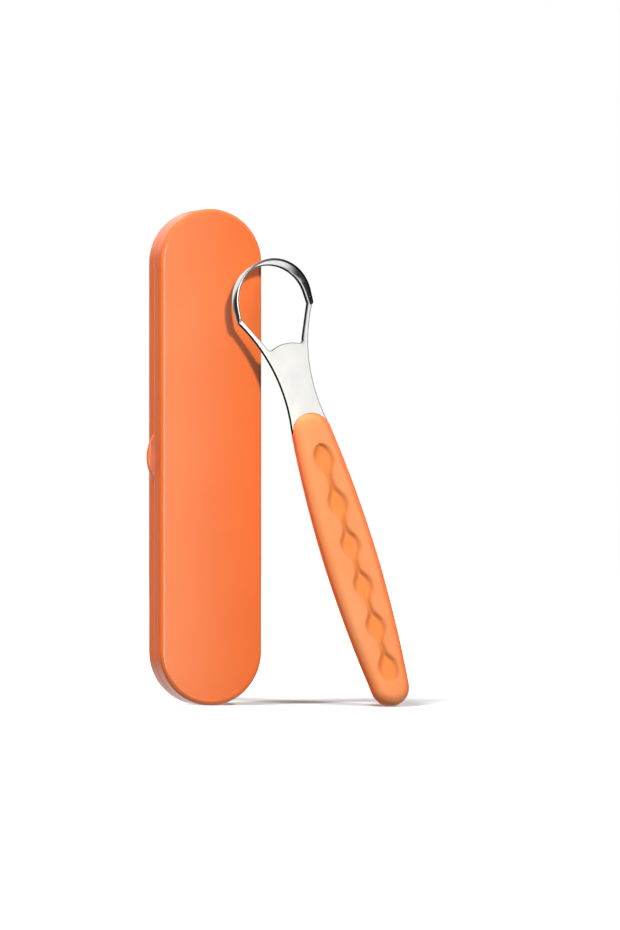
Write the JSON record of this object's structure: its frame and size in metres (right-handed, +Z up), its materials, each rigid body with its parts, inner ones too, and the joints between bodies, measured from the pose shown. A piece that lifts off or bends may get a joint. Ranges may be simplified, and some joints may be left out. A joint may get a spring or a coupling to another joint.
{
  "type": "tongue scraper",
  "caption": "Steel loop tongue scraper with a soft grip handle, leaning on the closed hinged travel case that it is stowed in.",
  "frame": {"origin": "on the floor under the middle of the box of the whole set, case and leaning scraper together", "axes": "+Z up along the standing case, +Y towards the back of the case, +X towards its hinged side, where the scraper leans"},
  "size_m": [0.087, 0.0478, 0.18],
  "materials": {
    "case_plastic": "glossy moulded orange",
    "pin_steel": "drawn wire",
    "blade_steel": "fine polished stainless",
    "core_plastic": "moulded orange",
    "grip_rubber": "satin soft orange"
  },
  "bodies": {
    "case_front": {"front_shell": "case_plastic"},
    "case_rear": {"rear_shell": "case_plastic", "lower_hinge_pin": "pin_steel", "upper_hinge_pin": "pin_steel"},
    "scraper": {"scraper_blade": "blade_steel", "handle_core": "core_plastic", "handle_grip": "grip_rubber"}
  },
  "joints": [
    {"name": "case_hinge", "type": "hinge", "parent": "case_front", "child": "case_rear", "pos_m": [-0.00123, 0.01648, 0.09], "axis": [0, 0, -1], "range_deg": [0, 180]},
    {"name": "scraper_lift", "type": "slide", "parent": "case_front", "child": "scraper", "axis": [0, -0.9848, 0.1736], "range_m": [0, 0.1]}
  ]
}
